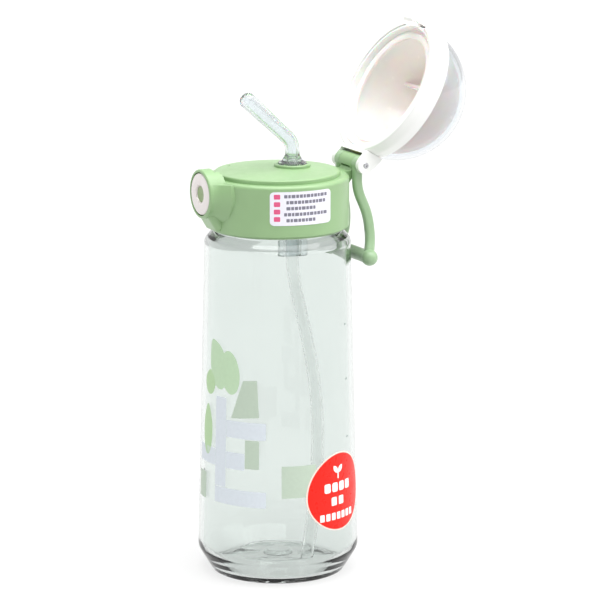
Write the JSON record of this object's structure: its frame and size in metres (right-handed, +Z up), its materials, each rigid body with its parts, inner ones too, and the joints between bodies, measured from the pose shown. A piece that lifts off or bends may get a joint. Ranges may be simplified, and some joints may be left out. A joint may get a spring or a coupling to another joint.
{
  "type": "kids water bottle",
  "caption": "Clear tapered children's straw bottle with a screw lid, push button, sprung clear dome, folding silicone mouthpiece and carry handle.",
  "frame": {"origin": "centre of the base, on the plane it stands on", "axes": "+Z up along the bottle's axis; -Y towards the push button; +Y towards the hinge and carry handle; the hinge pin lies along X"},
  "size_m": [0.0748, 0.1345, 0.2559],
  "materials": {
    "clear_bottle": "clear, very slightly grey-green moulded copolyester",
    "collar_green": "satin sage-green moulded plastic",
    "handle_green": "satin sage-green moulded plastic",
    "insert_white": "white moulded plastic",
    "silicone_seal": "white silicone",
    "silicone_clear": "clear silicone",
    "straw_clear": "translucent extruded plastic",
    "dome_white": "glossy white moulded plastic",
    "dome_clear": "clear moulded plastic",
    "liner_white": "warm white moulded plastic",
    "button_white": "glossy white moulded plastic",
    "button_green": "green moulded plastic",
    "steel": "bright steel",
    "label_white": "printed film label",
    "label_red": "printed film label"
  },
  "bodies": {
    "bottle": {"bottle_body": "clear_bottle", "bottle_label": "label_red"},
    "seal": {"neck_seal": "silicone_seal"},
    "lid": {"lid_insert": "collar_green", "lid_collar": "collar_green", "collar_label": "label_white", "vent_valve": "silicone_seal", "straw_connector": "silicone_clear", "straw_tube": "straw_clear", "mouthpiece_foot": "silicone_clear", "mouthpiece_knee": "silicone_clear", "hinge_bush": "insert_white", "hinge_spring": "steel", "button_spring": "steel"},
    "mouthpiece": {"mouthpiece_tip": "silicone_clear"},
    "button": {"button_cap": "button_white", "button_insert": "button_green", "latch_slide": "insert_white"},
    "dome": {"dome_rim": "dome_white", "dome_shell": "dome_clear", "dome_liner": "liner_white", "hinge_pin": "steel"},
    "handle": {"carry_handle": "handle_green"}
  },
  "joints": [
    {"name": "lid_rise", "type": "slide", "parent": "bottle", "child": "seal", "axis": [0, 0, 1], "range_m": [0, 0.00501]},
    {"name": "lid_turn", "type": "hinge", "parent": "seal", "child": "lid", "pos_m": [0, 0, 0.17], "axis": [0, 0, 1], "range_deg": [0, 450]},
    {"name": "dome_hinge", "type": "hinge", "parent": "lid", "child": "dome", "pos_m": [0, 0.039, 0.1895], "axis": [1, 0, 0], "range_deg": [0, 120], "stiffness_Nm_per_rad": 0.008, "springref_deg": -45.84, "deforming": ["hinge_spring"]},
    {"name": "mouthpiece_fold", "type": "hinge", "parent": "lid", "child": "mouthpiece", "pos_m": [0, 0.0085, 0.204], "axis": [1, 0, 0], "range_deg": [0, 54.01], "deforming": ["mouthpiece_knee"]},
    {"name": "handle_swing", "type": "hinge", "parent": "lid", "child": "handle", "pos_m": [0, 0.039, 0.1895], "axis": [1, 0, 0], "range_deg": [0, 60]},
    {"name": "button_press", "type": "slide", "parent": "lid", "child": "button", "axis": [0, 1, 0], "range_m": [0, 0.0025], "stiffness_N_per_m": 800, "springref_m": -0.001, "deforming": ["button_spring"]}
  ],
  "couplings": [
    {"joint": "lid_rise", "follows": "lid_turn", "m_per_rad": 0.00063662},
    {"joint": "mouthpiece_fold", "follows": "dome_hinge", "ratio": 0.45}
  ]
}
